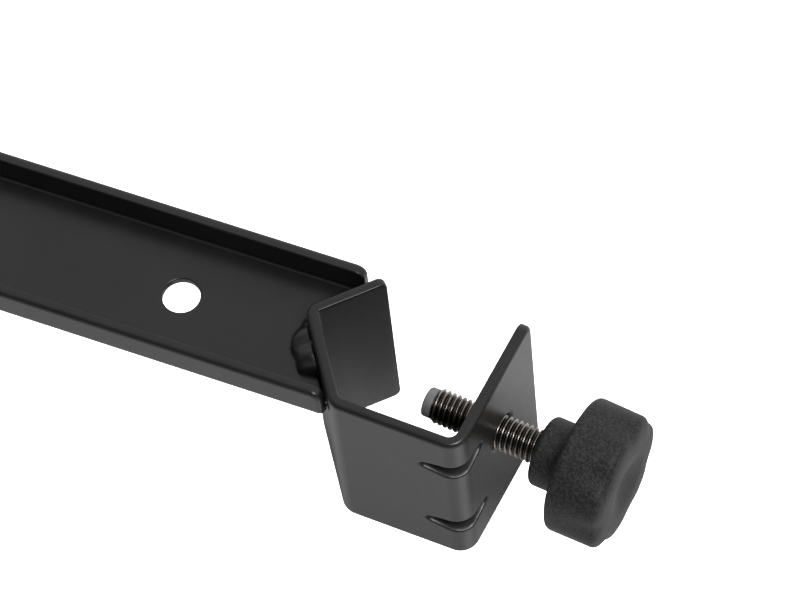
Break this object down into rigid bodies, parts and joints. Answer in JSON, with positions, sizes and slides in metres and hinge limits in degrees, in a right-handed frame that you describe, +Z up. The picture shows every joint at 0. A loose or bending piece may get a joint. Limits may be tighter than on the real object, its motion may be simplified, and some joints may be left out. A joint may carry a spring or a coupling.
{
  "type": "tube-clamp headphone hook",
  "caption": "Channel-shaped steel hook arm on a V-jaw tube clamp, with an M8 clamp screw, its nylon tip and a lobed knob.",
  "frame": {"origin": "inner corner line of the clamp's V jaw, at the height of the clamp screw's axis", "axes": "-X along the hook arm from the clamp to its free end, +Z up along the tube that the clamp grips, -Y the side of the clamp's web; the screw's axis is turned 5.4 degrees from +X towards -Y"},
  "size_m": [0.2162, 0.0355, 0.064],
  "materials": {
    "powder_coat": "satin black powder coat",
    "plated_steel": "dark nickel plating",
    "nylon": "satin grey",
    "knob_plastic": "fine-grained black"
  },
  "bodies": {
    "hook_frame": {"arm_channel": "powder_coat", "clamp_bracket": "powder_coat", "weld_bead_front": "powder_coat", "weld_bead_back": "powder_coat", "weld_bead_under": "powder_coat"},
    "tip": {"screw_tip": "nylon"},
    "screw": {"clamp_screw": "plated_steel", "grip_knob": "knob_plastic"}
  },
  "joints": [
    {"name": "screw_travel", "type": "slide", "parent": "hook_frame", "child": "tip", "axis": [-0.9956, 0.0941, 0], "range_m": [-0.0135, 0.00937]},
    {"name": "screw_turn", "type": "hinge", "parent": "tip", "child": "screw", "pos_m": [0.04175, -0.00304, 0], "axis": [-0.9956, 0.0941, 0], "range_deg": [-3890, 2701]}
  ],
  "couplings": [
    {"joint": "screw_turn", "follows": "screw_travel", "rad_per_m": 5026.5}
  ]
}
